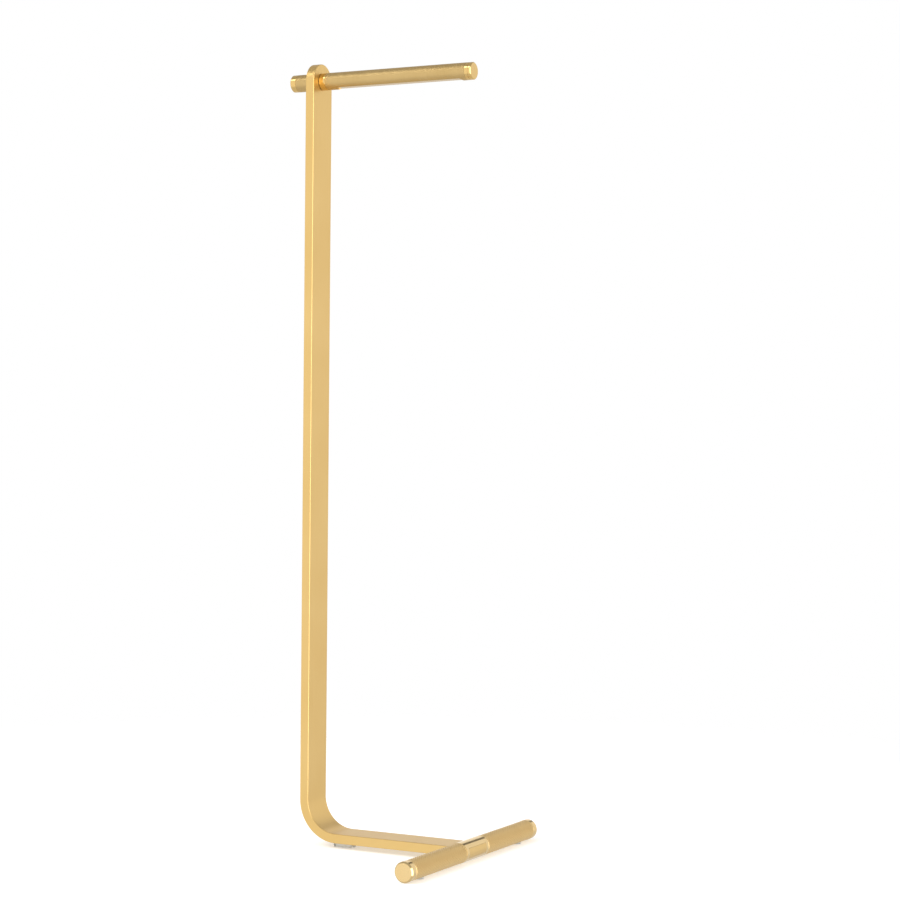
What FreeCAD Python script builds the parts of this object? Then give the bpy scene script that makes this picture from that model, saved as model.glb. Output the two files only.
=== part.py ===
import FreeCAD, Part
import math
import os

# Free-standing toilet roll stand, in millimetres.
# One flat bar is bent into a post and a foot. A round arm through the top of the post carries the
# roll, and a round cross bar on the end of the foot keeps the stand from tipping sideways.
# +X is the way the arm and the foot point, +Y is along the cross bar, +Z is up.
# The origin is on the floor, at the middle of the whole stand's box.

# ---------------------------------------------------------------- driving dimensions

# Stand bar
stand_height = 667.0
bar_width = 30.0
bar_thickness = 8.0
bar_edge_radius = 0.6
bend_inner_radius = 27.0

# Roll arm, measured from the post's faces
arm_diameter = 14.6
arm_reach = 145.5
arm_rear_reach = 20.7
washer_thickness = 0.3
washer_inset = 0.6
neck_length = 5.7
front_band_length = 3.1
front_cap_length = 3.0
front_cap_chamfer = 0.7
rear_cap_length = 5.5
rear_cap_chamfer = 0.7
flat_depth = 1.2
flat_rear_margin = 8.3
flat_front_margin = 3.8
flat_cutter_diameter = 10.0

# Cross bar
cross_diameter = 17.0
cross_length = 225.0
cross_ahead = 147.3
hub_end_wall = 4.5
cross_cap_length = 7.0
cross_cap_chamfer = 1.2

# Broken edges beside each seam, which show as a fine groove
seam_chamfer = 0.3

# Threaded joints: studs and cap spigots share one thread
thread_diameter = 8.0
thread_clearance = 0.05
arm_stud_grip = 20.0
cross_stud_grip = 14.0
cross_stud_hub_grip = 3.5
spigot_grip = 5.0
bore_spare = 0.5
thread_end_chamfer = 0.8

# Foot in the hub's slot, held by grub screws from below
slot_clearance = 0.1
grub_diameter = 4.0
grub_bite = 2.5
grub_recess = 1.0
grub_spacing = 16.0
grub_socket_flats = 2.0
grub_socket_depth = 2.0

# Silicone pads
floor_pad_diameter = 8.0
floor_pad_proud = 0.4
floor_pad_recess = 2.0
floor_pad_clearance = 0.1
floor_pad_inset = 25.0
heel_pad_width = 10.0
heel_pad_behind_bend = 8.0
heel_pad_ahead_of_bend = 10.0
heel_pad_corner_radius = 2.5

# ---------------------------------------------------------------- places that follow from them

foot_mid_z = floor_pad_proud + cross_diameter / 2
foot_under_z = foot_mid_z - bar_thickness / 2
foot_top_z = foot_mid_z + bar_thickness / 2
arm_z = stand_height - bar_width / 2

front_most = max(arm_reach, cross_ahead + cross_diameter / 2)
rear_most = bar_thickness + arm_rear_reach
post_front_x = (rear_most - front_most) / 2
post_back_x = post_front_x - bar_thickness
cross_x = post_front_x + cross_ahead
bend_centre_x = post_front_x + bend_inner_radius
bend_centre_z = foot_top_z + bend_inner_radius
bend_outer_radius = bend_inner_radius + bar_thickness

arm_radius = arm_diameter / 2
cross_radius = cross_diameter / 2
thread_radius = thread_diameter / 2
thread_bore_radius = thread_radius + thread_clearance

arm_tip_x = post_front_x + arm_reach
neck_start_x = post_front_x + washer_thickness
sleeve_start_x = neck_start_x + neck_length
front_cap_start_x = arm_tip_x - front_cap_length
sleeve_end_x = front_cap_start_x - front_band_length
rear_tip_x = post_back_x - arm_rear_reach
rear_cap_start_x = rear_tip_x + rear_cap_length
rear_sleeve_start_x = post_back_x - washer_thickness

cross_end_y = cross_length / 2
cross_cap_start_y = cross_end_y - cross_cap_length
hub_end_y = bar_width / 2 + hub_end_wall
grub_top_z = foot_under_z + grub_bite
grub_bottom_z = floor_pad_proud + grub_recess


def point(x, y, z):
    return FreeCAD.Vector(x, y, z)


X_AXIS = point(1, 0, 0)
Y_AXIS = point(0, 1, 0)
Z_AXIS = point(0, 0, 1)
ORIGIN = point(0, 0, 0)


# ---------------------------------------------------------------- helpers


def turned(outline):
    """A piece turned about the X axis from (x, radius) points."""
    corners = [point(x, 0, radius) for x, radius in outline]
    face = Part.Face(Part.makePolygon(corners + corners[:1]))
    return face.revolve(ORIGIN, X_AXIS, 360)


def barrel(start, end, radius, start_chamfer, end_chamfer, bore_radius=0.0):
    """A turned length with a chamfer at each end, and a bore right through if one is given."""
    return turned(
        [
            (start, bore_radius),
            (start, radius - start_chamfer),
            (start + start_chamfer, radius),
            (end - end_chamfer, radius),
            (end, radius - end_chamfer),
            (end, bore_radius),
        ]
    )


def end_cap(start, end, radius, tip_chamfer, grip):
    """An end cap with its threaded spigot behind it."""
    spigot_start = start - grip
    return turned(
        [
            (spigot_start, 0),
            (spigot_start, thread_radius - thread_end_chamfer),
            (spigot_start + thread_end_chamfer, thread_radius),
            (start, thread_radius),
            (start, radius - seam_chamfer),
            (start + seam_chamfer, radius),
            (end - tip_chamfer, radius),
            (end, radius - tip_chamfer),
            (end, 0),
        ]
    )


def bore(start, end, radius=thread_bore_radius):
    """The material that a hole along the X axis takes away."""
    return Part.makeCylinder(radius, end - start, point(start, 0, 0), X_AXIS)


def on_arm(shape):
    """Lifts a piece turned about the X axis to the arm's axis."""
    return shape.translated(point(0, 0, arm_z))


def on_cross_bar(shape):
    """Turns a piece made along +X to lie along +Y on the cross bar's axis."""
    turned_shape = shape.copy()
    turned_shape.rotate(ORIGIN, Z_AXIS, 90)
    return turned_shape.translated(point(cross_x, 0, foot_mid_z))


def mirrored(shape):
    """The other half's piece, across the plane y = 0."""
    return shape.mirror(ORIGIN, Y_AXIS)


def keep(shape, name):
    shape.exportStep(os.path.join("parts", name + ".step"))
    print(name, len(shape.Solids), "solid(s)", round(shape.Volume, 1), "mm3", shape.isValid())


# ---------------------------------------------------------------- stand bar


def bend_point(radius, degrees):
    """A point on the bend: 0 degrees is under its centre, 90 degrees is behind it."""
    angle = math.radians(degrees)
    return point(
        bend_centre_x - radius * math.sin(angle), 0, bend_centre_z - radius * math.cos(angle)
    )


def side_outline():
    """The bar seen from the side, from the arm's axis down the post and along the foot."""
    end_half_chord = math.sqrt(cross_radius**2 - (bar_thickness / 2) ** 2)
    foot_tip_top = point(cross_x + end_half_chord, 0, foot_top_z)
    foot_tip_middle = point(cross_x + cross_radius, 0, foot_mid_z)
    foot_tip_under = point(cross_x + end_half_chord, 0, foot_under_z)
    inside_top = point(post_front_x, 0, arm_z)
    outside_top = point(post_back_x, 0, arm_z)
    inside = [bend_point(bend_inner_radius, degrees) for degrees in (90, 45, 0)]
    outside = [bend_point(bend_outer_radius, degrees) for degrees in (0, 45, 90)]
    edges = [
        Part.makeLine(inside_top, inside[0]),
        Part.Arc(*inside).toShape(),
        Part.makeLine(inside[2], foot_tip_top),
        Part.Arc(foot_tip_top, foot_tip_middle, foot_tip_under).toShape(),
        Part.makeLine(foot_tip_under, outside[0]),
        Part.Arc(*outside).toShape(),
        Part.makeLine(outside[2], outside_top),
        Part.makeLine(outside_top, inside_top),
    ]
    return Part.Face(Part.Wire(edges))


def is_long_edge(edge):
    """True for the bar's long outer edges, which are eased, and false at the foot's tip."""
    middle = edge.valueAt((edge.FirstParameter + edge.LastParameter) / 2)
    tolerance = 0.001
    on_side = abs(abs(middle.y) - bar_width / 2) < tolerance
    from_arm_axis = math.hypot(middle.y, middle.z - arm_z)
    on_round_top = middle.z > arm_z and abs(from_arm_axis - bar_width / 2) < tolerance
    return (on_side or on_round_top) and middle.x < cross_x and edge.Length > bar_thickness + tolerance


def grub_places():
    return [point(cross_x, side * grub_spacing / 2, 0) for side in (-1, 1)]


def stand_bar():
    bar = side_outline().extrude(point(0, bar_width, 0)).translated(point(0, -bar_width / 2, 0))
    round_top = Part.makeCylinder(
        bar_width / 2, bar_thickness, point(post_back_x, 0, arm_z), X_AXIS
    )
    bar = bar.fuse(round_top).removeSplitter()
    bar = bar.makeFillet(bar_edge_radius, [e for e in bar.Edges if is_long_edge(e)])
    arm_hole = bore(post_back_x, post_front_x).translated(point(0, 0, arm_z))
    bar = bar.cut(arm_hole)
    for place in grub_places():
        mouth = point(place.x, place.y, foot_under_z)
        depth = grub_bite + bore_spare
        bar = bar.cut(Part.makeCylinder(grub_diameter / 2 + thread_clearance, depth, mouth, Z_AXIS))
    return bar


# ---------------------------------------------------------------- roll arm


def washer(start, end):
    radius = arm_radius - washer_inset
    return on_arm(barrel(start, end, radius, 0, 0, thread_bore_radius))


def arm_neck():
    """A polished collar between the post and the sleeve."""
    collar = barrel(
        neck_start_x, sleeve_start_x, arm_radius, seam_chamfer, seam_chamfer, thread_bore_radius
    )
    return on_arm(collar)


def underside_flat():
    """The material above the long shallow flat: a slot with round ends, as the cutter leaves it."""
    cutter_radius = flat_cutter_diameter / 2
    start = sleeve_start_x + flat_rear_margin + cutter_radius
    end = sleeve_end_x - flat_front_margin - cutter_radius
    cut = Part.makeBox(
        end - start,
        flat_cutter_diameter,
        flat_depth,
        point(start, -cutter_radius, -arm_radius),
    )
    for x in (start, end):
        cut = cut.fuse(
            Part.makeCylinder(cutter_radius, flat_depth, point(x, 0, -arm_radius), Z_AXIS)
        )
    return cut.removeSplitter()


def arm_sleeve():
    """The satin length that carries the roll, with a long shallow flat underneath."""
    sleeve = barrel(sleeve_start_x, sleeve_end_x, arm_radius, seam_chamfer, seam_chamfer)
    stud_depth = arm_stud_grip + bore_spare
    sleeve = sleeve.cut(bore(sleeve_start_x, sleeve_start_x + stud_depth))
    sleeve = sleeve.cut(bore(sleeve_end_x - spigot_grip - bore_spare, sleeve_end_x))
    return on_arm(sleeve.cut(underside_flat()))


def arm_front_band():
    band = barrel(
        sleeve_end_x, front_cap_start_x, arm_radius, seam_chamfer, seam_chamfer, thread_bore_radius
    )
    return on_arm(band)


def arm_front_cap():
    grip = front_band_length + spigot_grip
    return on_arm(
        end_cap(front_cap_start_x, arm_tip_x, arm_radius, front_cap_chamfer, grip)
    )


def arm_stud():
    """Runs from the rear sleeve through the post and the neck into the arm sleeve."""
    start = rear_cap_start_x + spigot_grip + bore_spare
    end = sleeve_start_x + arm_stud_grip
    return on_arm(barrel(start, end, thread_radius, thread_end_chamfer, thread_end_chamfer))


def arm_rear_sleeve():
    """The satin nut behind the post, threaded right through."""
    sleeve = barrel(
        rear_cap_start_x,
        rear_sleeve_start_x,
        arm_radius,
        seam_chamfer,
        seam_chamfer,
        thread_bore_radius,
    )
    return on_arm(sleeve)


def arm_rear_cap():
    """Made pointing to +X and then turned round to point backwards."""
    cap = end_cap(-rear_cap_start_x, -rear_tip_x, arm_radius, rear_cap_chamfer, spigot_grip)
    cap.rotate(ORIGIN, Z_AXIS, 180)
    return on_arm(cap)


# ---------------------------------------------------------------- cross bar


def cross_hub():
    """The smooth middle of the cross bar, slotted right through for the foot."""
    hub = barrel(-hub_end_y, hub_end_y, cross_radius, seam_chamfer, seam_chamfer)
    stud_depth = cross_stud_hub_grip + bore_spare
    hub = hub.cut(bore(-hub_end_y, -hub_end_y + stud_depth))
    hub = hub.cut(bore(hub_end_y - stud_depth, hub_end_y))
    hub = on_cross_bar(hub)
    slot_width = bar_width + 2 * slot_clearance
    slot_height = bar_thickness + 2 * slot_clearance
    slot = Part.makeBox(
        cross_diameter,
        slot_width,
        slot_height,
        point(cross_x - cross_radius, -slot_width / 2, foot_mid_z - slot_height / 2),
    )
    hub = hub.cut(slot)
    for place in grub_places():
        hub = hub.cut(
            Part.makeCylinder(grub_diameter / 2 + thread_clearance, foot_mid_z, place, Z_AXIS)
        )
    return hub


def cross_stud():
    stud = barrel(
        hub_end_y - cross_stud_hub_grip,
        hub_end_y + cross_stud_grip,
        thread_radius,
        thread_end_chamfer,
        thread_end_chamfer,
    )
    return on_cross_bar(stud)


def floor_pad_place():
    return point(cross_x, cross_end_y - floor_pad_inset, 0)


def cross_sleeve():
    """A knurled half of the cross bar. Its knurl's crests lie on this diameter."""
    sleeve = barrel(hub_end_y, cross_cap_start_y, cross_radius, seam_chamfer, seam_chamfer)
    sleeve = sleeve.cut(bore(hub_end_y, hub_end_y + cross_stud_grip + bore_spare))
    sleeve = sleeve.cut(bore(cross_cap_start_y - spigot_grip - bore_spare, cross_cap_start_y))
    recess = Part.makeCylinder(
        floor_pad_diameter / 2 + floor_pad_clearance,
        floor_pad_proud + floor_pad_recess,
        floor_pad_place(),
        Z_AXIS,
    )
    return on_cross_bar(sleeve).cut(recess)


def cross_cap():
    cap = end_cap(cross_cap_start_y, cross_end_y, cross_radius, cross_cap_chamfer, spigot_grip)
    return on_cross_bar(cap)


def foot_grub_screws():
    """Two identical grub screws, whose socket faces down."""
    socket_radius = grub_socket_flats / math.sqrt(3)
    screws = []
    for place in grub_places():
        bottom = point(place.x, place.y, grub_bottom_z)
        length = grub_top_z - grub_bottom_z
        screw = Part.makeCylinder(grub_diameter / 2, length, bottom, Z_AXIS)
        corners = [
            bottom
            + point(
                socket_radius * math.cos(math.radians(60 * corner)),
                socket_radius * math.sin(math.radians(60 * corner)),
                0,
            )
            for corner in range(6)
        ]
        hexagon = Part.Face(Part.makePolygon(corners + corners[:1]))
        screws.append(screw.cut(hexagon.extrude(point(0, 0, grub_socket_depth))))
    return Part.makeCompound(screws)


# ---------------------------------------------------------------- silicone pads


def floor_pad():
    """A disc let into the cross bar, which stands a little proud of its underside."""
    height = floor_pad_proud + floor_pad_recess
    return Part.makeCylinder(floor_pad_diameter / 2, height, floor_pad_place(), Z_AXIS)


def heel_pad():
    """A moulded pad under the foot, whose top follows the outside of the bend."""
    rear_degrees = math.degrees(math.asin(heel_pad_behind_bend / bend_outer_radius))
    arc = [bend_point(bend_outer_radius, rear_degrees * share) for share in (0, 0.5, 1)]
    front_x = bend_centre_x + heel_pad_ahead_of_bend
    rear_floor = point(arc[2].x, 0, 0)
    front_floor = point(front_x, 0, 0)
    front_top = point(front_x, 0, foot_under_z)
    edges = [
        Part.makeLine(rear_floor, front_floor),
        Part.makeLine(front_floor, front_top),
        Part.makeLine(front_top, arc[0]),
        Part.Arc(*arc).toShape(),
        Part.makeLine(arc[2], rear_floor),
    ]
    pad = Part.Face(Part.Wire(edges)).extrude(point(0, heel_pad_width, 0))
    pad = pad.translated(point(0, -heel_pad_width / 2, 0))
    upright = [e for e in pad.Edges if abs(e.tangentAt(e.FirstParameter).z) > 0.999]
    return pad.makeFillet(heel_pad_corner_radius, upright)


# ---------------------------------------------------------------- write each node

os.makedirs("parts", exist_ok=True)

keep(stand_bar(), "stand_bar")

keep(washer(post_front_x, neck_start_x), "arm_front_washer")
keep(arm_neck(), "arm_neck")
keep(arm_sleeve(), "arm_sleeve")
keep(arm_front_band(), "arm_front_band")
keep(arm_front_cap(), "arm_front_cap")
keep(arm_stud(), "arm_stud")
keep(washer(rear_sleeve_start_x, post_back_x), "arm_rear_washer")
keep(arm_rear_sleeve(), "arm_rear_sleeve")
keep(arm_rear_cap(), "arm_rear_cap")

keep(cross_hub(), "cross_hub")
keep(foot_grub_screws(), "foot_grub_screws")
for name, half in (
    ("cross_stud", cross_stud()),
    ("cross_sleeve", cross_sleeve()),
    ("cross_cap", cross_cap()),
    ("floor_pad", floor_pad()),
):
    keep(half, name + "_left")
    keep(mirrored(half), name + "_right")

keep(heel_pad(), "heel_pad")
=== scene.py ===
# %% [markdown]
# # A free-standing toilet roll stand in brass
# One flat brass bar is bent into a post and a foot. A round arm through the top of the post carries
# the roll, and a round, knurled cross bar on the foot keeps the stand from tipping. Every piece here
# is drawn round the engineer's model, which gives its place and size, so nothing has to be fitted.

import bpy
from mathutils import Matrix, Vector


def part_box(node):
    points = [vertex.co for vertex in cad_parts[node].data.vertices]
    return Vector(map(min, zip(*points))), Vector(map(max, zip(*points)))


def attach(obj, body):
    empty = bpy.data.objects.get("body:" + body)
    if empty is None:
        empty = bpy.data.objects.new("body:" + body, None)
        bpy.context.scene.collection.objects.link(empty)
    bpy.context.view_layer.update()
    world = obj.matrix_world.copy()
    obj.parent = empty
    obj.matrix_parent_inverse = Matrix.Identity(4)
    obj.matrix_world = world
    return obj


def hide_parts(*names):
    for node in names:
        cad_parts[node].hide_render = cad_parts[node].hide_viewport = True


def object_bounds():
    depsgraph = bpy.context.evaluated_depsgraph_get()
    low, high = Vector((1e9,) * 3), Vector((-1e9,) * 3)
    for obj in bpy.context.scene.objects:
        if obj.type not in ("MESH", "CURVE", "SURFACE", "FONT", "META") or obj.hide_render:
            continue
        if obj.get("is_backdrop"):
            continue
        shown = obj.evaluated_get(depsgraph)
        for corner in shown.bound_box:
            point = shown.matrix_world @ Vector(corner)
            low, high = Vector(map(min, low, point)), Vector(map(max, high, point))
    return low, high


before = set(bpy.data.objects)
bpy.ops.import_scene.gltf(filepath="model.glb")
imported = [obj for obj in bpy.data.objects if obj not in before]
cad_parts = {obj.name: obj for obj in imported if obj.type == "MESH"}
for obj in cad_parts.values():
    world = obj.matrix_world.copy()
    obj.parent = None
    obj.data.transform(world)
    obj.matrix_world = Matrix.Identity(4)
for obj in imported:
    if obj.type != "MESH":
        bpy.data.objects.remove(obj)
cad_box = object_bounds()
print("engineer's box, mm:", [[round(1000 * v, 2) for v in corner] for corner in cad_box])

# %% [markdown]
# ## Units and measures
# Blender works in metres and a workshop in millimetres, so each size is written as a number of `MM`.
# Places are read from the boxes of the engineer's nodes. They are rounded to a hundredth of a
# millimetre, because those nodes are facets, whose corners may miss a round face by a hair.

# %% Units and measures
import math

import bpy
from mathutils import Matrix, Vector

MM = 0.001


def box_of(node):
    """A node's lowest and highest corners, rounded to 0.01 mm."""
    return [Vector([round(value, 5) for value in corner]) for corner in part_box(node)]


bar_low, bar_high = box_of("stand_bar")
hub_low, hub_high = box_of("cross_hub")
sleeve_low, sleeve_high = box_of("arm_sleeve")
post_front_x = box_of("arm_front_washer")[0].x
post_back_x = bar_low.x

bar_width = bar_high.y - bar_low.y
bar_thickness = post_front_x - post_back_x
arm_radius = (sleeve_high.z - sleeve_low.z) / 2
arm_z = (sleeve_high.z + sleeve_low.z) / 2
cross_radius = (hub_high.z - hub_low.z) / 2
cross_z = (hub_high.z + hub_low.z) / 2
cross_x = hub_high.x - cross_radius
foot_top_z = cross_z + bar_thickness / 2

bend_inner_radius = 27 * MM
bend_x = post_front_x + bend_inner_radius
bend_z = foot_top_z + bend_inner_radius

thread_bore_radius = 4.05 * MM
thread_radius = 4 * MM
seam_chamfer = 0.3 * MM

print("bar", bar_width / MM, "x", bar_thickness / MM, "arm", arm_radius / MM, "cross", cross_radius / MM)

# %% [markdown]
# ## Working in edit mode from code
# By hand you select with the mouse. In code you select by place: a small function visits the faces
# or edges of the mesh and marks those that a rule accepts. Everything is deselected first, because
# an operator acts on all that is selected, and a new primitive comes selected all over.

# %% Helpers: objects and edit mode
NEAR = 0.01 * MM
X, Y, Z = 0, 1, 2


def only(piece):
    """Selects one object and makes it the active one."""
    bpy.ops.object.select_all(action="DESELECT")
    piece.select_set(True)
    bpy.context.view_layer.objects.active = piece


def start_piece(name):
    """Names the primitive that was just added and puts its place and turn into its mesh."""
    piece = bpy.context.active_object
    piece.name = name
    piece.data.name = name
    only(piece)
    bpy.ops.object.transform_apply(location=True, rotation=True, scale=True)
    return piece


def edit(piece, mode="FACE"):
    """Opens a piece in edit mode with nothing selected."""
    only(piece)
    bpy.ops.object.mode_set(mode="EDIT")
    bpy.ops.mesh.select_mode(type=mode)
    bpy.ops.mesh.select_all(action="DESELECT")


def pick(piece, rule, mode="FACE"):
    """In edit mode, selects just the faces, edges or vertices that the rule accepts."""
    bpy.ops.mesh.select_mode(type=mode)
    bpy.ops.mesh.select_all(action="DESELECT")
    bpy.ops.object.mode_set(mode="OBJECT")
    parts = {"FACE": piece.data.polygons, "EDGE": piece.data.edges, "VERT": piece.data.vertices}[mode]
    count = 0
    for part in parts:
        part.select = bool(rule(part))
        count += part.select
    bpy.ops.object.mode_set(mode="EDIT")
    return count


def ends_of(piece, edge):
    """The two end points of an edge."""
    return [piece.data.vertices[index].co for index in edge.vertices]


def lies_at(piece, axis, at):
    """A rule for the edges that lie at this place along the axis."""
    return lambda edge: all(abs(point[axis] - at) < NEAR for point in ends_of(piece, edge))


def runs_along(piece, axis):
    """A rule for the edges that cover more than a millimetre along the axis."""

    def rule(edge):
        start, end = ends_of(piece, edge)
        return abs(start[axis] - end[axis]) > MM

    return rule


def done():
    """Leaves edit mode."""
    bpy.ops.object.mode_set(mode="OBJECT")


def apply_modifier(piece, kind, **settings):
    """Adds a modifier with its settings and applies it at once."""
    only(piece)
    modifier = piece.modifiers.new(kind.title(), kind)
    for setting, value in settings.items():
        setattr(modifier, setting, value)
    bpy.ops.object.modifier_apply(modifier=modifier.name)


def cut_away(piece, cutter):
    """Cuts one solid out of another and throws the cutter away."""
    apply_modifier(piece, "BOOLEAN", operation="DIFFERENCE", solver="EXACT", object=cutter)
    bpy.data.objects.remove(cutter)


def shade(piece, degrees=24):
    """Rounds the shading over small angles and keeps every real edge crisp.

    Large faces then set the light, so that a thin chamfer doesn't tilt the long side beside it.
    """
    only(piece)
    bpy.ops.object.shade_smooth_by_angle(angle=math.radians(degrees))
    apply_modifier(piece, "WEIGHTED_NORMAL", weight=100, keep_sharp=True)


def count_triangles(piece):
    """How many triangles the piece's faces make."""
    return sum(len(face.vertices) - 2 for face in piece.data.polygons)


# %% [markdown]
# ## Turned pieces
# Neck, sleeve, band, caps, washers and hub all come off a lathe, so they share one axis and differ in
# length, bore and chamfer. Each starts as a cylinder of its own size. The rim edges are then bevelled
# into the chamfers, the end face is inset to the bore's size, and it is pushed in for a bore or
# pulled out for a threaded spigot. A spun outline would do too, but this is how the lathe works:
# stock first, then one cut after another.

# %% Helpers: lathe work
SIDES = 128
TURN_TO = {X: (0, math.pi / 2, 0), Y: (-math.pi / 2, 0, 0)}


def stock(name, axis, centre, start, end, radius, sides=SIDES):
    """A round length along X or Y, from start to end."""
    place = Vector(centre)
    place[axis] = (start + end) / 2
    bpy.ops.object.select_all(action="DESELECT")
    bpy.ops.mesh.primitive_cylinder_add(
        vertices=sides, radius=radius, depth=end - start, location=place, rotation=TURN_TO[axis]
    )
    return start_piece(name)


def pick_end(piece, axis, at):
    """Selects the flat end face that lies at this place along the axis."""
    count = pick(
        piece,
        lambda face: abs(face.center[axis] - at) < NEAR and abs(face.normal[axis]) > 0.99,
    )
    assert count == 1, f"{piece.name}: {count} end faces at {at}"


def chamfer_rim(piece, axis, at, width):
    """Bevels the rim of the end at this place. Two steps round it a little, as a file does."""
    pick(piece, lies_at(piece, axis, at), "EDGE")
    bpy.ops.mesh.bevel(offset=width, offset_type="OFFSET", segments=2, profile=0.6, affect="EDGES")


def push(axis, distance):
    """Extrudes the selected face along the axis."""
    step = Vector()
    step[axis] = distance
    bpy.ops.mesh.extrude_region_move(TRANSFORM_OT_translate={"value": step})


def blind_bore(piece, axis, at, face_radius, depth):
    """Insets an end face to the bore and pushes it in."""
    pick_end(piece, axis, at)
    bpy.ops.mesh.inset(thickness=face_radius - thread_bore_radius)
    push(axis, depth)


def through_bore(piece, axis, ends, face_radii):
    """Insets both end faces to the bore and bridges the two rings into one hole."""
    for at, face_radius in zip(ends, face_radii):
        pick_end(piece, axis, at)
        bpy.ops.mesh.inset(thickness=face_radius - thread_bore_radius)
    inner = thread_bore_radius + NEAR

    def is_plug(face):
        """Whether this is the round face that fills the bore at one end."""
        across = [piece.data.vertices[index].co for index in face.vertices]
        spread = max((a - across[0]).length for a in across)
        at_end = min(abs(face.center[axis] - at) for at in ends) < NEAR
        return at_end and len(face.vertices) > 8 and spread < 2 * inner

    assert pick(piece, is_plug) == 2, piece.name
    bpy.ops.mesh.bridge_edge_loops()


def spigot(piece, axis, at, face_radius, length):
    """Insets an end face to the thread's size, pulls it out and tapers its tip."""
    taper = 0.8 * MM
    pick_end(piece, axis, at)
    bpy.ops.mesh.inset(thickness=face_radius - thread_radius)
    direction = math.copysign(1, length)
    push(axis, length - direction * taper)
    push(axis, direction * taper)
    bpy.ops.transform.resize(value=(1 - taper / thread_radius,) * 3)


# %% [markdown]
# ## Stand bar
# The post and the foot are one length of flat bar, bent over a round former. A cube for each leg
# would leave a seam where the real bar has none, so the bar's section is drawn once as a plane and
# carried along its route: extruded back along the foot, spun a quarter turn round the bend's centre,
# and extruded up the post. Spinning keeps the section square to the route all the way round.

# %% Stand bar: section, foot, bend and post
bend_steps = 40
tip_x = cross_x + cross_radius

bpy.ops.object.select_all(action="DESELECT")
bpy.ops.mesh.primitive_plane_add(size=1, location=(tip_x, 0, cross_z), rotation=(0, math.pi / 2, 0))
bpy.context.active_object.scale = (bar_thickness, bar_width, 1)
stand_bar = start_piece("brushed_stand_bar")

edit(stand_bar)
bpy.ops.mesh.select_all(action="SELECT")
push(X, bend_x - tip_x)
bpy.ops.mesh.spin(
    steps=bend_steps, angle=math.pi / 2, center=(bend_x, 0, bend_z), axis=(0, -1, 0)
)
bpy.ops.mesh.extrude_region_move(TRANSFORM_OT_translate={"value": (0, 0, bar_high.z - bend_z)})
bpy.ops.mesh.select_all(action="SELECT")
bpy.ops.mesh.remove_doubles(threshold=NEAR)
bpy.ops.mesh.normals_make_consistent(inside=False)
done()
print("bar:", len(stand_bar.data.vertices), "corners, top at", stand_bar.data.vertices[-1].co.z / MM)

# %% [markdown]
# The top of the post is a full half circle. The two top edges are bevelled by half the bar's width,
# so that the two rounds meet in the middle. The foot's tip is dressed flush with the cross bar: its
# end is divided into rows, and each row slides back to the cross bar's radius.

# %% Stand bar: round top and flush tip
top_steps = 32
tip_cuts = 7

edit(stand_bar)
pick(
    stand_bar,
    lambda e: all(
        abs(p.z - bar_high.z) < NEAR and abs(abs(p.y) - bar_width / 2) < NEAR
        for p in ends_of(stand_bar, e)
    )
    and abs(ends_of(stand_bar, e)[0].y - ends_of(stand_bar, e)[1].y) < NEAR,
    "EDGE",
)
bpy.ops.mesh.bevel(offset=bar_width / 2, segments=top_steps, profile=0.5, affect="EDGES")
bpy.ops.mesh.select_all(action="SELECT")
bpy.ops.mesh.remove_doubles(threshold=NEAR)

pick(
    stand_bar,
    lambda e: all(abs(p.x - tip_x) < NEAR for p in ends_of(stand_bar, e))
    and abs(ends_of(stand_bar, e)[0].y - ends_of(stand_bar, e)[1].y) < NEAR,
    "EDGE",
)
bpy.ops.mesh.subdivide(number_cuts=tip_cuts)
for row in range(tip_cuts + 2):
    height = bar_thickness * (row / (tip_cuts + 1) - 0.5)
    pick(
        stand_bar,
        lambda v: abs(v.co.x - tip_x) < 0.5 * cross_radius and abs(v.co.z - cross_z - height) < NEAR
        and v.co.x > cross_x,
        "VERT",
    )
    setback = cross_radius - math.sqrt(cross_radius**2 - height**2)
    bpy.ops.transform.translate(value=(-setback, 0, 0))
done()

# %% [markdown]
# Drawn brass bar has no knife edges. Its long edges are eased by 0.6 mm, which is what catches the
# thin line of light down the front of the post. Sharp edges are found by their angle, and those at
# the foot's tip are left out, because there the bar is dressed flush with the hub.

# %% Stand bar: eased long edges, and the holes that the other pieces need
bar_edge_radius = 0.6 * MM
sharp_degrees = 60
hole_sides = 48

edit(stand_bar, "EDGE")
bpy.ops.mesh.edges_select_sharp(sharpness=math.radians(sharp_degrees))
done()
sharp = {edge.index for edge in stand_bar.data.edges if edge.select}
edit(stand_bar, "EDGE")
eased = pick(
    stand_bar,
    lambda e: e.index in sharp and not all(p.x > cross_x for p in ends_of(stand_bar, e)),
    "EDGE",
)
bpy.ops.mesh.bevel(offset=bar_edge_radius, segments=3, profile=0.5, affect="EDGES")
done()

arm_hole = stock(
    "arm_hole", X, (0, 0, arm_z), post_back_x - MM, post_front_x + MM, thread_bore_radius, hole_sides
)
cut_away(stand_bar, arm_hole)
shade(stand_bar)
print("eased", eased, "edges;", count_triangles(stand_bar), "triangles")

# %% [markdown]
# ## Arm and rear stub
# From the post outwards the arm is a thin black washer, a polished neck, the satin sleeve that the
# roll hangs on, a polished band and a polished cap. Behind the post come a second washer, a short
# satin stub and its cap. All but the washers have a small chamfer where they meet, and two chamfers
# face to face show as the fine groove between the pieces.

# %% Arm: washers
arm_centre = (0, 0, arm_z)


def washer(name, node):
    """A flat ring, so thin that only its edge shows."""
    low, high = box_of(node)
    radius = (high.z - low.z) / 2
    piece = stock(name, X, arm_centre, low.x, high.x, radius)
    edit(piece)
    through_bore(piece, X, (low.x, high.x), (radius, radius))
    done()
    shade(piece)
    return piece


front_washer = washer("nylon_front_washer", "arm_front_washer")
rear_washer = washer("nylon_rear_washer", "arm_rear_washer")
print("washers", count_triangles(front_washer), "triangles each")

# %% Arm: collars with a bore right through


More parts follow.
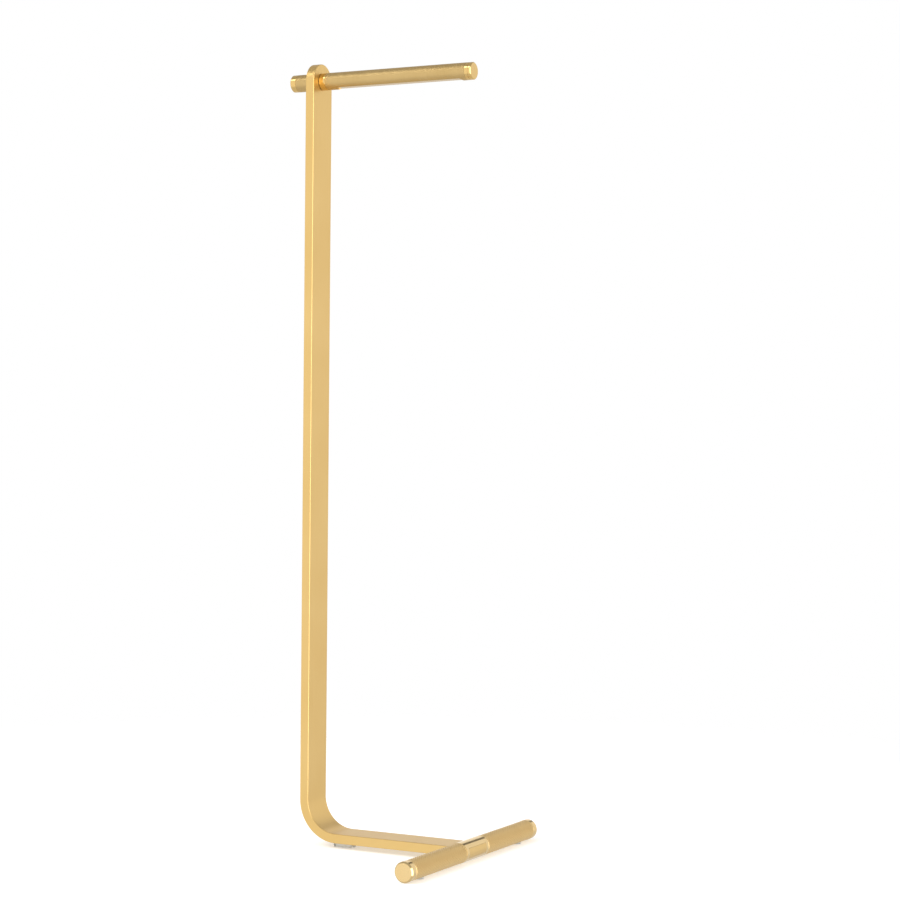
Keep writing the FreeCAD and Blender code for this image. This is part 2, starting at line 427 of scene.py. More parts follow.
def collar(name, node):
    """A turned ring with a chamfer at each end and a bore right through."""
    low, high = box_of(node)
    piece = stock(name, X, arm_centre, low.x, high.x, arm_radius)
    edit(piece)
    for at in (low.x, high.x):
        chamfer_rim(piece, X, at, seam_chamfer)
    face_radius = arm_radius - seam_chamfer
    through_bore(piece, X, (low.x, high.x), (face_radius, face_radius))
    done()
    shade(piece)
    return piece


neck = collar("polished_neck", "arm_neck")
front_band = collar("polished_front_band", "arm_front_band")
rear_sleeve = collar("satin_rear_sleeve", "arm_rear_sleeve")
print("collars", [count_triangles(piece) for piece in (neck, front_band, rear_sleeve)])

# %% [markdown]
# The sleeve has a long shallow flat milled along its underside, with round ends where the cutter
# went in and out. The cutter's path is drawn as a bar with round ends, and a Boolean takes it away.
# That leaves a low curved wall at each end of the flat.

# %% Arm: the sleeve and its flat
flat_depth = 1.2 * MM
cutter_radius = 5 * MM
left_round_at_post = 8.3 * MM
left_round_at_tip = 3.8 * MM
flat_start_x = sleeve_low.x + left_round_at_post
flat_end_x = sleeve_high.x - left_round_at_tip
stud_bore_depth = 20.5 * MM
cap_bore_depth = 5.5 * MM
cut_shading = 18

satin_sleeve = stock("satin_arm_sleeve", X, arm_centre, sleeve_low.x, sleeve_high.x, arm_radius)
edit(satin_sleeve)
for at, depth in ((sleeve_low.x, stud_bore_depth), (sleeve_high.x, -cap_bore_depth)):
    chamfer_rim(satin_sleeve, X, at, seam_chamfer)
    blind_bore(satin_sleeve, X, at, arm_radius - seam_chamfer, depth)
done()

bpy.ops.object.select_all(action="DESELECT")
cutter_height = 4 * MM
bpy.ops.mesh.primitive_cube_add(
    size=1,
    location=(
        (flat_start_x + flat_end_x) / 2,
        0,
        arm_z - arm_radius + flat_depth - cutter_height / 2,
    ),
    scale=(flat_end_x - flat_start_x, 2 * cutter_radius, cutter_height),
)
flat_cutter = start_piece("flat_cutter")
edit(flat_cutter)
pick(flat_cutter, runs_along(flat_cutter, Z), "EDGE")
bpy.ops.mesh.bevel(offset=cutter_radius, segments=24, profile=0.5, affect="EDGES")
bpy.ops.mesh.select_all(action="SELECT")
bpy.ops.mesh.remove_doubles(threshold=NEAR)
done()
cut_away(satin_sleeve, flat_cutter)
shade(satin_sleeve, cut_shading)
print("sleeve", count_triangles(satin_sleeve), "triangles")

# %% Arm: end caps
arm_cap_chamfer = 0.7 * MM
cap_edge_radius = 0.12 * MM


def end_cap(name, axis, centre, radius, seam_at, tip_at, chamfer, grip):
    """A cap: a chamfered tip, a fine seam chamfer, and a threaded spigot behind it."""
    start, end = sorted((seam_at, tip_at))
    piece = stock(name, axis, centre, start, end, radius)
    inward = math.copysign(1, seam_at - tip_at)
    edit(piece)
    pick(piece, lies_at(piece, axis, tip_at), "EDGE")
    bpy.ops.mesh.bevel(offset=chamfer, segments=1, affect="EDGES")
    chamfer_rim(piece, axis, seam_at, seam_chamfer)
    spigot(piece, axis, seam_at, radius - seam_chamfer, inward * grip)
    done()
    apply_modifier(
        piece, "BEVEL", width=cap_edge_radius, segments=2, limit_method="ANGLE",
        angle_limit=math.radians(30), harden_normals=False,
    )
    shade(piece)
    return piece


band_high_x = box_of("arm_front_band")[1].x
stub_low_x = box_of("arm_rear_sleeve")[0].x
front_low, front_high = box_of("arm_front_cap")
rear_low, rear_high = box_of("arm_rear_cap")
front_cap = end_cap(
    "polished_front_cap", X, arm_centre, arm_radius,
    band_high_x, front_high.x, arm_cap_chamfer, band_high_x - front_low.x,
)
rear_cap = end_cap(
    "polished_rear_cap", X, arm_centre, arm_radius,
    stub_low_x, rear_low.x, arm_cap_chamfer, rear_high.x - stub_low_x,
)
print("caps", [count_triangles(piece) for piece in (front_cap, rear_cap)])

# %% [markdown]
# ## Cross bar
# The cross bar has a polished hub in the middle, slotted right through for the foot, and a knurled
# sleeve with a polished cap on each side. A knurling wheel presses two sets of crossing grooves into
# the brass, and what stays proud between them is a field of small diamonds.

# %% Cross bar: the slotted hub
cross_centre = (cross_x, 0, cross_z)
slot_clearance = 0.1 * MM
slot_cutter_length = 3 * cross_radius
bore_spare = 0.5 * MM
cross_stud_low, cross_stud_high = box_of("cross_stud_left")
hub_bore_depth = hub_high.y - cross_stud_low.y + bore_spare
sleeve_bore_depth = cross_stud_high.y - hub_high.y + bore_spare

hub = stock("polished_hub", Y, cross_centre, hub_low.y, hub_high.y, cross_radius)
edit(hub)
for at, inward in ((hub_low.y, 1), (hub_high.y, -1)):
    chamfer_rim(hub, Y, at, seam_chamfer)
    blind_bore(hub, Y, at, cross_radius - seam_chamfer, inward * hub_bore_depth)
done()
bpy.ops.object.select_all(action="DESELECT")
bpy.ops.mesh.primitive_cube_add(
    size=1,
    location=cross_centre,
    scale=(
        slot_cutter_length,
        bar_width + 2 * slot_clearance,
        bar_thickness + 2 * slot_clearance,
    ),
)
slot_cutter = start_piece("slot_cutter")
cut_away(hub, slot_cutter)
shade(hub, cut_shading)
print("hub", count_triangles(hub), "triangles, bored", round(hub_bore_depth / MM, 2), "mm deep")

# %% [markdown]
# The knurl is real shape, not a bump picture, so that it also breaks up the outline. The sleeve gets
# twice as many sides as it has diamonds, and its long edges are divided so that the grid's cells
# stand 30 degrees off the axis when joined corner to corner, which is the angle of a knurling wheel.
# Every second corner is then pressed towards the axis, in a chessboard pattern. Last, each cell is
# split along its low corners, so the low corners join up as grooves and the high ones stay proud.

# %% Cross bar: one knurled sleeve
diamonds_around = 26
knurl_depth = 0.4 * MM
helix_degrees = 30
knurl_shading = 12

left_low, left_high = box_of("cross_sleeve_left")
columns = 2 * diamonds_around
column_width = 2 * math.pi * cross_radius / columns
knurl_start = left_low.y + seam_chamfer
knurl_end = left_high.y - seam_chamfer
rows = round((knurl_end - knurl_start) / (column_width / math.tan(math.radians(helix_degrees))))
row_length = (knurl_end - knurl_start) / rows


def column_of(point):
    """Which column a corner stands in, counted round the axis."""
    turn = math.atan2(point.z - cross_z, point.x - cross_x) / (2 * math.pi)
    return round(turn * columns)


knurled_left = stock(
    "knurled_sleeve_left", Y, cross_centre, knurl_start, knurl_end, cross_radius, columns
)
edit(knurled_left)
pick(knurled_left, runs_along(knurled_left, Y), "EDGE")
bpy.ops.mesh.subdivide(number_cuts=rows - 1)


def is_low_corner(vertex):
    """Every second corner, as on a chessboard, but none at the two ends."""
    row = round((vertex.co.y - knurl_start) / row_length)
    return 0 < row < rows and (row + column_of(vertex.co)) % 2 == 1


low_corners = pick(knurled_left, is_low_corner, "VERT")
press = 1 - knurl_depth / cross_radius
bpy.ops.transform.resize(value=(press, 1, press), center_override=cross_centre)
pick(knurled_left, lambda f: abs(f.normal.y) < 0.9)
bpy.ops.mesh.quads_convert_to_tris(quad_method="SHORTEST_DIAGONAL")
print("knurl:", rows, "rows of", column_width / MM, "by", row_length / MM, "mm")
print("pressed", low_corners, "low corners")

# %% Cross bar: plain rims, bores and the pad's seat
for at, outward in ((knurl_start, -1), (knurl_end, 1)):
    pick_end(knurled_left, Y, at)
    push(Y, outward * seam_chamfer)
    shrink = 1 - seam_chamfer / cross_radius
    bpy.ops.transform.resize(value=(shrink, 1, shrink))
for at, depth in ((left_low.y, sleeve_bore_depth), (left_high.y, -cap_bore_depth)):
    blind_bore(knurled_left, Y, at, cross_radius - seam_chamfer, depth)
done()

pad_low, pad_high = box_of("floor_pad_left")
pad_radius = (pad_high.y - pad_low.y) / 2
pad_y = round((pad_low.y + pad_high.y) / 2, 4)
pad_clearance = 0.1 * MM
bpy.ops.object.select_all(action="DESELECT")
bpy.ops.mesh.primitive_cylinder_add(
    vertices=hole_sides,
    radius=pad_radius + pad_clearance,
    depth=2 * pad_high.z,
    location=(cross_x, pad_y, 0),
)
seat_cutter = start_piece("seat_cutter")
cut_away(knurled_left, seat_cutter)
shade(knurled_left, knurl_shading)
print("knurled sleeve", count_triangles(knurled_left), "triangles")

# %% [markdown]
# The cap is turned and polished like the arm's, with a broader chamfer round its face. The other
# half of the bar is the same pieces seen in a mirror. Each copy gets its own mesh, is mirrored along
# the bar, and has its normals made to point outwards again, because a mirror turns them in.

# %% Cross bar: cap, pad and the other half
cross_cap_chamfer = 1.2 * MM
pad_edge_radius = 0.3 * MM
pad_sides = 64

cap_low, cap_high = box_of("cross_cap_left")
cap_left = end_cap(
    "polished_cap_left", Y, cross_centre, cross_radius,
    left_high.y, cap_high.y, cross_cap_chamfer, left_high.y - cap_low.y,
)

bpy.ops.object.select_all(action="DESELECT")
bpy.ops.mesh.primitive_cylinder_add(
    vertices=pad_sides, radius=pad_radius, depth=pad_high.z, location=(cross_x, pad_y, pad_high.z / 2)
)
pad_left = start_piece("silicone_pad_left")
edit(pad_left)
pick(pad_left, lies_at(pad_left, Z, 0), "EDGE")
bpy.ops.mesh.bevel(offset=pad_edge_radius, segments=4, affect="EDGES")
done()
shade(pad_left)


def other_half(piece, name, degrees=24):
    """A mirror copy across the stand's middle, with its own mesh and its shading worked out anew."""
    only(piece)
    bpy.ops.object.duplicate()
    copy = bpy.context.active_object
    copy.name = name
    copy.data.name = name
    bpy.ops.transform.mirror(constraint_axis=(False, True, False), center_override=(0, 0, 0))
    bpy.ops.object.transform_apply(location=True, rotation=True, scale=True)
    edit(copy)
    bpy.ops.mesh.select_all(action="SELECT")
    bpy.ops.mesh.normals_make_consistent(inside=False)
    done()
    shade(copy, degrees)
    return copy


knurled_right = other_half(knurled_left, "knurled_sleeve_right", knurl_shading)
cap_right = other_half(cap_left, "polished_cap_right")
pad_right = other_half(pad_left, "silicone_pad_right")
print("right half reaches y =", min(v.co.y for v in cap_right.data.vertices) / MM)

# %% [markdown]
# ## Heel pad
# The cross bar is thicker than the foot, so the foot hangs a few millimetres above the floor. A small
# moulded pad of clear silicone fills that gap under the bend. It starts as a block, its upright
# corners are rounded, and the bar itself is used as the cutter, so the pad's top fits the bend.

# %% Heel pad
heel_corner_radius = 2.5 * MM
heel_edge_radius = 0.4 * MM

heel_low, heel_high = box_of("heel_pad")
bpy.ops.object.select_all(action="DESELECT")
bpy.ops.mesh.primitive_cube_add(
    size=1, location=(heel_low + heel_high) / 2, scale=heel_high - heel_low
)
heel_pad = start_piece("silicone_heel_pad")
edit(heel_pad)
pick(heel_pad, runs_along(heel_pad, Z), "EDGE")
bpy.ops.mesh.bevel(offset=heel_corner_radius, segments=10, profile=0.5, affect="EDGES")
pick(heel_pad, lies_at(heel_pad, Z, heel_low.z), "EDGE")
bpy.ops.mesh.bevel(offset=heel_edge_radius, segments=4, profile=0.5, affect="EDGES")
done()
only(stand_bar)
bpy.ops.object.duplicate()
cut_away(heel_pad, bpy.context.active_object)
shade(heel_pad)
print("heel pad", count_triangles(heel_pad), "triangles")

# %% [markdown]
# ## Finishes
# Everything you see is brass but for two washers and three pads. What changes is how the surface was
# worked: drawn and brushed, turned satin, knurled, milled or polished. A metal's colour is in its
# reflection, so all the brass has metallic at 1. Each finish has its own pair of tones of the same
# yellow, and the work shows mainly in the roughness and in a very fine relief. The cross bar's polish
# and the knurl get lighter copies of these tones, as painted light.

# %% Helpers: colours and nodes


def colour(hex_code):
    """An sRGB hex colour turned to linear light, with alpha 1."""
    channels = [int(hex_code[start : start + 2], 16) / 255 for start in (0, 2, 4)]
    linear = [c / 12.92 if c <= 0.04045 else ((c + 0.055) / 1.055) ** 2.4 for c in channels]
    return (*linear, 1)


def connect(tree, node, inputs):
    """Sets a node's inputs: a socket is linked, and anything else is a value."""
    for name, value in inputs.items():
        if isinstance(value, bpy.types.NodeSocket):
            tree.links.new(value, node.inputs[name])
        else:
            node.inputs[name].default_value = value


def add(tree, kind, inputs=None, **settings):
    """Adds one node with its settings and links."""
    node = tree.nodes.new(kind)
    for name, value in settings.items():
        setattr(node, name, value)
    connect(tree, node, inputs or {})
    return node


def new_material(name, **inputs):
    """A material whose shader starts from these values. Underscores stand for spaces."""
    material = bpy.data.materials.new(name)
    material.use_nodes = True
    shader = material.node_tree.nodes["Principled BSDF"]
    connect(material.node_tree, shader, {key.replace("_", " "): v for key, v in inputs.items()})
    return material, material.node_tree, shader


# %% [markdown]
# ### Brushed satin brass
# The bar is drawn, then brushed along its length with a fine belt, and lacquered. The scratches run
# along the bar, round the bend too, so the pattern needs a map that follows the metal: one direction
# is the distance along the bar's middle, and the other is the place across its section. Real
# scratches are about 0.05 mm apart, too fine to show here, so they are drawn ten times as coarse and
# faint. Each finish shifts between a deeper and a lighter tone in soft clouds.

# %% Finish: brushed satin brass for the bar
brass_light = "EFCC88"
brass_deep = "E5BF77"
bend_middle_radius = bend_inner_radius + bar_thickness / 2
bend_length = bend_middle_radius * math.pi / 2
# a noise texture mostly stays between these two values
noise_low, noise_high = 0.3, 0.7
brushed_smoothest, brushed_roughest = 0.3, 0.42


def along_bar(point):
    """Distance along the bar's middle line, and height above that line, both in metres."""
    if point.z > bend_z:
        return bend_length + point.z - bend_z, point.x - (post_front_x + post_back_x) / 2
    if point.x > bend_x:
        return bend_x - point.x, point.z - cross_z
    turn = math.atan2(bend_x - point.x, bend_z - point.z)
    return bend_middle_radius * turn, bend_middle_radius - math.hypot(bend_x - point.x, bend_z - point.z)


grain_map = stand_bar.data.uv_layers.new(name="along_the_bar")
for loop in stand_bar.data.loops:
    corner = stand_bar.data.vertices[loop.vertex_index].co
    distance, height = along_bar(corner)
    grain_map.data[loop.index].uv = (distance, corner.y + height)


def brushed_brass():
    """Drawn bar, brushed along its length."""
    material, tree, shader = new_material("brushed satin brass", Metallic=1.0)
    scratch_gap = 0.5 * MM
    scratch_length = 30 * MM
    grain = add(tree, "ShaderNodeUVMap", uv_map="along_the_bar").outputs["UV"]
    stretched = add(
        tree,
        "ShaderNodeMapping",
        {"Vector": grain, "Scale": (1 / scratch_length, 1 / scratch_gap, 1)},
    )
    scratches = add(
        tree, "ShaderNodeTexNoise", {"Vector": stretched.outputs[0], "Scale": 1.0, "Detail": 3.0}
    )
    place = add(tree, "ShaderNodeTexCoord").outputs["Object"]
    cloud_size = 60 * MM
    clouds = add(tree, "ShaderNodeTexNoise", {"Vector": place, "Scale": 1 / cloud_size, "Detail": 2.0})
    tone = add(
        tree,
        "ShaderNodeMix",
        {"Factor": clouds.outputs[0], "A": colour(brass_deep), "B": colour(brass_light)},
        data_type="RGBA",
    )
    roughness = add(
        tree,
        "ShaderNodeMapRange",
        {
            "Value": scratches.outputs[0],
            "From Min": noise_low,
            "From Max": noise_high,
            "To Min": brushed_smoothest,
            "To Max": brushed_roughest,
        },
    )
    relief = add(
        tree,
        "ShaderNodeBump",
        {"Height": scratches.outputs[0], "Strength": 0.25, "Distance": 0.02 * MM},
    )
    connect(
        tree,
        shader,
        {
            "Base Color": tone.outputs["Result"],
            "Roughness": roughness.outputs[0],
            "Normal": relief.outputs[0],
        },
    )
    return material


brushed = brushed_brass()
print("made", brushed.name)

# %% [markdown]
# ### Turned brass: satin, polished and knurled
# A lathe leaves rings. Along a round side they follow the length, and on a flat face they are circles
# round the middle, so the pattern reads two things only: how far along the axis a point is, and how
# far out from it. One function makes all the turned finishes, from the axis, the roughness, the
# depth of the rings and a pair of tones. The arm's milled flat takes one of them too, smoother than
# the sleeve round it. In the knurl the grooves are painted a darker tone low down: painted shade,
# where lacquer also gathers.

# %% Finish: turned brass
# the darker tone painted into the knurl's grooves as shade
groove_shade_tone = "E6C486"
smoother, rougher = 0.8, 1.2


def turned_brass(
    name, axis, centre, rough, ring_gap, ring_depth, groove_depth=0.0, deep=brass_deep, light=brass_light
):
    """Brass worked on a lathe whose axis runs through the centre along X or Y."""
    material, tree, shader = new_material(name, Metallic=1.0)
    place = add(tree, "ShaderNodeTexCoord").outputs["Object"]
    centred = add(tree, "ShaderNodeMapping", {"Vector": place, "Location": [-v for v in centre]})
    parts = add(tree, "ShaderNodeSeparateXYZ", {"Vector": centred.outputs[0]})
    along = parts.outputs[axis]
    across = [parts.outputs[other] for other in range(3) if other != axis]
    flat = add(tree, "ShaderNodeCombineXYZ", {"X": across[0], "Y": across[1]})
    out = add(tree, "ShaderNodeVectorMath", {0: flat.outputs[0]}, operation="LENGTH").outputs["Value"]
    lathe = add(tree, "ShaderNodeCombineXYZ", {"X": along, "Y": out})
    rings = add(
        tree,
        "ShaderNodeTexNoise",
        {"Vector": lathe.outputs[0], "Scale": 1 / ring_gap, "Detail": 2.0},
    )
    cloud_size = 18 * MM
    clouds = add(tree, "ShaderNodeTexNoise", {"Vector": place, "Scale": 1 / cloud_size, "Detail": 2.0})
    tone = add(
        tree,
        "ShaderNodeMix",
        {"Factor": clouds.outputs[0], "A": colour(deep), "B": colour(light)},
        data_type="RGBA",
    ).outputs["Result"]
    # painted shade: the knurl's tone turns darker low down in its grooves, nearer the axis
    if groove_depth:
        crest = add(
            tree,
            "ShaderNodeMapRange",
            {"Value": out, "From Min": cross_radius - groove_depth, "From Max": cross_radius},
        )
        tone = add(
            tree,
            "ShaderNodeMix",
            {"Factor": crest.outputs[0], "A": colour(groove_shade_tone), "B": tone},
            data_type="RGBA",
        ).outputs["Result"]
    roughness = add(
        tree,
        "ShaderNodeMapRange",
        {
            "Value": rings.outputs[0],
            "From Min": noise_low,
            "From Max": noise_high,
            "To Min": smoother * rough,
            "To Max": rougher * rough,
        },
    )
    relief = add(
        tree,
        "ShaderNodeBump",
        {"Height": rings.outputs[0], "Strength": 0.3, "Distance": ring_depth},
    )
    connect(
        tree,
        shader,
        {"Base Color": tone, "Roughness": roughness.outputs[0], "Normal": relief.outputs[0]},
    )
    return material


satin_turned = turned_brass(
    "satin turned brass", X, arm_centre, rough=0.45, ring_gap=0.3 * MM, ring_depth=0.008 * MM,
    deep="CFB074", light="DABC82",
)
polished_arm = turned_brass(
    "polished brass of the arm", X, arm_centre, rough=0.12, ring_gap=0.4 * MM, ring_depth=0.002 * MM
)
# painted light: the cross bar's polished brass is a paler copy of the arm's, for the brighter light it
# mirrors
polished_cross = turned_brass(
    "polished brass of the cross bar", Y, cross_centre, rough=0.14, ring_gap=0.4 * MM,
    ring_depth=0.002 * MM, deep="EAC98C", light="F2D59E",
)
milled_flat = turned_brass(
    "milled brass of the arm's flat", X, arm_centre, rough=0.16, ring_gap=0.4 * MM, ring_depth=0.002 * MM
)
# painted light: the knurl's tones are a lighter copy of the brass, brightened against the shade its
# diamonds cast on each other
knurled_brass = turned_brass(
    "knurled satin brass", Y, cross_centre, rough=0.36, ring_gap=0.3 * MM, ring_depth=0.006 * MM,
    groove_depth=knurl_depth, deep="EBC682", light="F5D594",
)
print("made five turned finishes")

# %% [markdown]
# ### The small pieces that are not brass
# The washers are black moulded nylon, dull with a faint eggshell grain. The pads are clear silicone:
# light goes through, and the moulded skin blurs it. The hidden studs and screws are zinc-plated
# steel, bluish grey with the cloudy spangle of the plating.

# %% Finish: nylon, silicone and zinc-plated steel


def grained(name, hex_low, hex_high, grain_size, rough, relief_depth, **inputs):
    """A finish whose tone and relief follow one fine grain."""
    material, tree, shader = new_material(name, **inputs)
    place = add(tree, "ShaderNodeTexCoord").outputs["Object"]
    grain = add(tree, "ShaderNodeTexNoise", {"Vector": place, "Scale": 1 / grain_size, "Detail": 3.0})
    tone = add(
        tree,
        "ShaderNodeMix",
        {"Factor": grain.outputs[0], "A": colour(hex_low), "B": colour(hex_high)},
        data_type="RGBA",
    )
    roughness = add(
        tree,
        "ShaderNodeMapRange",
        {"Value": grain.outputs[0], "To Min": smoother * rough, "To Max": rougher * rough},
    )
    relief = add(
        tree, "ShaderNodeBump", {"Height": grain.outputs[0], "Strength": 0.4, "Distance": relief_depth}
    )
    connect(
        tree,
        shader,
        {
            "Base Color": tone.outputs["Result"],
            "Roughness": roughness.outputs[0],
            "Normal": relief.outputs[0],
        },
    )
    return material


nylon = grained(
    "black moulded nylon", "141517", "222326", grain_size=0.4 * MM, rough=0.5, relief_depth=0.01 * MM,
    IOR=1.53,
)
silicone = grained(
    "clear moulded silicone", "E9EAE4", "F6F6F2", grain_size=1.5 * MM, rough=0.35,
    relief_depth=0.01 * MM, IOR=1.41, Transmission_Weight=0.8,
)
zinc_steel = grained(
    "zinc plated steel", "A9AFB5", "C9CDD1", grain_size=2 * MM, rough=0.32, relief_depth=0.005 * MM,
    Metallic=1.0,
)
print("made nylon, silicone and zinc-plated steel")

# %% [markdown]
# ## Putting the pieces on the frame
# Each piece says which node of the engineer's model it stands for, and which of the record's finishes
# it takes. The stand has no moving parts, so every piece rides on the one body, `root`. The arm's
# sleeve has a second finish, on the faces of its milled flat. The studs and grub screws sit inside
# the brass and stay as the engineer drew them.

# %% Pieces, nodes, finishes
fitted = [
    (stand_bar, "stand_bar", "satin_bar", brushed),
    (front_washer, "arm_front_washer", "washer", nylon),
    (rear_washer, "arm_rear_washer", "washer", nylon),
    (neck, "arm_neck", "polished", polished_arm),
    (satin_sleeve, "arm_sleeve", "satin_turned", satin_turned),
    (front_band, "arm_front_band", "polished", polished_arm),
    (front_cap, "arm_front_cap", "polished", polished_arm),
    (rear_sleeve, "arm_rear_sleeve", "satin_turned", satin_turned),
    (rear_cap, "arm_rear_cap", "polished", polished_arm),
    (hub, "cross_hub", "polished", polished_cross),
    (knurled_left, "cross_sleeve_left", "knurled", knurled_brass),
    (knurled_right, "cross_sleeve_right", "knurled", knurled_brass),
    (cap_left, "cross_cap_left", "polished", polished_cross),
    (cap_right, "cross_cap_right", "polished", polished_cross),
    (pad_left, "floor_pad_left", "silicone", silicone),
    (pad_right, "floor_pad_right", "silicone", silicone),
    (heel_pad, "heel_pad", "silicone", silicone),
]
for piece, node_name, slot_name, material in fitted:
    piece.data.materials.clear()
    piece.data.materials.append(material)
    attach(piece, "root")
    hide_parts(node_name)

flat_z = arm_z - arm_radius + flat_depth
satin_sleeve.data.materials.append(milled_flat)
edit(satin_sleeve)
flat_faces = pick(satin_sleeve, lambda f: f.normal.z < -0.999 and abs(f.center.z - flat_z) < NEAR)
satin_sleeve.active_material_index = 1
bpy.ops.object.material_slot_assign()
done()
print("the milled flat has", flat_faces, "faces")

for node_name in ("arm_stud", "cross_stud_left", "cross_stud_right", "foot_grub_screws"):
    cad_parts[node_name].material_slots[0].material = zinc_steel
print(len(fitted), "pieces,", sum(count_triangles(row[0]) for row in fitted), "triangles")

# %% [markdown]
# ## Studio
# Polished metal shows its surroundings, so the studio is built for what the brass sees. The sky is
# pale, a little dimmer overhead and below, and ten round cards change it. Each card hangs where the
# surface named beside it mirrors it. Most light whole faces, the two brightest draw the lines of light
# on the post's edge and on the arm, and the small dark ones draw the dark streaks along the round
# bars. A later card covers an earlier one. The camera itself sees plain white in place of all this,
# the floor fades into that white, and no reflection shows the floor.

# %% Studio: the sky and its cards
scene = bpy.context.scene
scene.view_settings.view_transform = "Standard"


def direction_to(azimuth, elevation):
    """A direction from its azimuth, measured from +Y towards +X, and its elevation."""
    turn, rise = math.radians(azimuth), math.radians(elevation)
    return (math.sin(turn) * math.cos(rise), math.cos(turn) * math.cos(rise), math.sin(rise))


def seen_directly(tree):
    """1 for what the camera sees, straight or through the clear pads, and 0 for a reflection."""
    path = add(tree, "ShaderNodeLightPath")
    return add(
        tree,
        "ShaderNodeMath",
        {0: path.outputs["Is Camera Ray"], 1: path.outputs["Is Transmission Ray"]},
        operation="MAXIMUM",
    ).outputs[0]


zenith_light = 0.5
sky_light = 0.78
below_light = 0.72
# azimuth, elevation, radius and soft rim in degrees, the light that the card gives, and what mirrors it
cards = [
    (-150, 4, 26, 26, 1.05),  # the bar's narrow side, the arm's side and the near cap
    (-141, 42, 4, 3, 4.5),  # the arm, a little above its middle
    (112, 2, 24, 12, 3.2),  # the eased edge down the front of the post
    (28, 12, 16, 14, 0.93),  # the post's wide front and the front of the cross bar
    (-28, 2, 11, 8, 1.1),  # the foot's top
    (-28, -13, 8, 5, 0.72),  # the arm's milled flat
    (-10, 24, 14, 10, 0.95),  # the top of the cross bar
    (-3, 29, 3, 3, 0.15),  # the dark streak on the hub and on the cross bar's caps
    (-9, 29, 3, 3, 0.15),  # the same streak, made wider
    (-31, 27, 4, 4, 0.3),  # the dark streak along the top of the arm
]

world = bpy.data.worlds.new("studio")
scene.world = world
world.use_nodes = True
sky = world.node_tree
look = add(sky, "ShaderNodeTexCoord").outputs["Generated"]
height = add(sky, "ShaderNodeSeparateXYZ", {"Vector": look}).outputs["Z"]
light = add(
    sky,
    "ShaderNodeMapRange",
    {"Value": height, "From Min": -0.8, "From Max": -0.25, "To Min": below_light, "To Max": sky_light},
    interpolation_type="SMOOTHSTEP",
).outputs[0]
light = add(
    sky,
    "ShaderNodeMapRange",
    {"Value": height, "From Min": 0.25, "From Max": 0.8, "To Min": light, "To Max": zenith_light},
    interpolation_type="SMOOTHSTEP",
).outputs[0]
for azimuth, elevation, radius, rim, card_light in cards:
    closeness = add(
        sky,
        "ShaderNodeVectorMath",
        {0: look, 1: direction_to(azimuth, elevation)},
        operation="DOT_PRODUCT",
    )
    inside = add(
        sky,
        "ShaderNodeMapRange",
        {
            "Value": closeness.outputs["Value"],
            "From Min": math.cos(math.radians(radius + rim)),
            "From Max": math.cos(math.radians(radius)),
        },
        interpolation_type="SMOOTHSTEP",
    )
    light = add(
        sky, "ShaderNodeMix", {"Factor": inside.outputs[0], "A": light, "B": card_light}
    ).outputs["Result"]
seen = seen_directly(sky)
light = add(sky, "ShaderNodeMix", {"Factor": seen, "A": light, "B": 1.0}).outputs["Result"]
connect(sky, sky.nodes["Background"], {"Color": (1, 1, 1, 1), "Strength": light})
print(len(cards), "cards in the sky")

# %% Studio: floor and overhead softbox
fade_start, fade_end = 0.35, 0.95
floor_sides = 96
floor_glow = 0.4

bpy.ops.object.select_all(action="DESELECT")
bpy.ops.mesh.primitive_circle_add(
    vertices=floor_sides, radius=fade_end, fill_type="NGON", location=(0, 0, 0)
)
floor = start_piece("studio_floor")
paint, tree, shader = new_material(
    "matt white studio floor", Base_Color=colour("E7E6E3"), Roughness=0.9, Specular_IOR_Level=0.1
)
place = add(tree, "ShaderNodeTexCoord").outputs["Object"]
from_middle = add(tree, "ShaderNodeVectorMath", {0: place}, operation="LENGTH").outputs["Value"]
solid = add(
    tree,
    "ShaderNodeMapRange",
    {"Value": from_middle, "From Min": fade_start, "From Max": fade_end, "To Min": 1.0, "To Max": 0.0},
    interpolation_type="SMOOTHSTEP",
)
glow = add(
    tree, "ShaderNodeMath", {0: seen_directly(tree), 1: floor_glow}, operation="MULTIPLY"
).outputs[0]
connect(
    tree,
    shader,
    {"Alpha": solid.outputs[0], "Emission Color": (1, 1, 1, 1), "Emission Strength": glow},
)
floor.data.materials.append(paint)
floor.visible_glossy = False
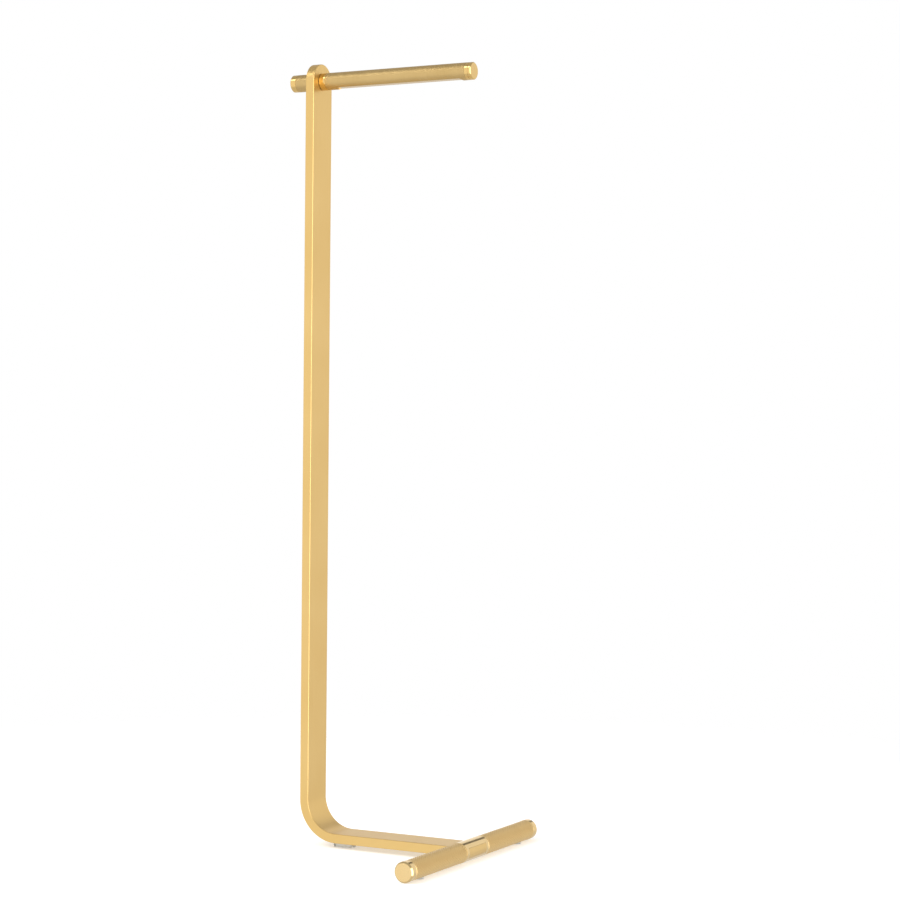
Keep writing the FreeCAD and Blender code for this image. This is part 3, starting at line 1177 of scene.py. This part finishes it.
floor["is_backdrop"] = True


def softbox(name, place, size, watts):
    """A square light aimed at the stand's origin. It isn't seen itself, nor in a reflection."""
    lamp = bpy.data.lights.new(name, "AREA")
    lamp.shape = "SQUARE"
    lamp.size = size
    lamp.energy = watts
    stand = bpy.data.objects.new(name, lamp)
    aim = Vector(place).to_track_quat("Z", "Y").to_matrix().to_4x4()
    stand.matrix_world = Matrix.Translation(place) @ aim
    stand.visible_camera = False
    stand.visible_glossy = False
    scene.collection.objects.link(stand)


softbox("overhead_softbox", place=(-0.1, -0.3, 2.3), size=1.4, watts=8)
softbox("front_left_softbox", place=(-0.3, -0.75, 0.7), size=0.5, watts=5)
print("floor fades out", fade_end, "m from the stand")

# %% [markdown]
# ## Camera
# The camera stands low, at about half the stand's height, well back with a long lens, so the post's
# sides stay nearly parallel. It looks a little from the right, past the end of the cross bar.

# %% Camera
camera_place = (0.9326, -1.6477, 0.3563)
focal_length = 89.81
azimuth, pitch, roll = math.radians(27.8396), math.radians(0.5316), math.radians(0.5059)
back = Vector(
    (math.sin(azimuth) * math.cos(pitch), -math.cos(azimuth) * math.cos(pitch), math.sin(pitch))
)
level_right = Vector((math.cos(azimuth), math.sin(azimuth), 0))
level_up = back.cross(level_right)
right = level_right * math.cos(roll) + level_up * math.sin(roll)
up = level_up * math.cos(roll) - level_right * math.sin(roll)

lens = bpy.data.cameras.new("camera")
lens.lens = focal_length
lens.sensor_width = 36
lens.clip_start, lens.clip_end = 0.05, 50
camera = bpy.data.objects.new("camera", lens)
aim = Matrix((right, up, back)).transposed().to_4x4()
camera.matrix_world = Matrix.Translation(camera_place) @ aim
scene.collection.objects.link(camera)
scene.camera = camera
print("camera at", [round(v, 3) for v in camera.location])

# %% [markdown]
# ## Last checks
# The drawn model has to stay inside the engineer's box, so both boxes are written down side by side.

# %% Compare the boxes and finish
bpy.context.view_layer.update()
for cad_corner, corner in zip(cad_box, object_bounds()):
    print("mm:", [round(v / MM, 2) for v in cad_corner], [round(v / MM, 2) for v in corner])
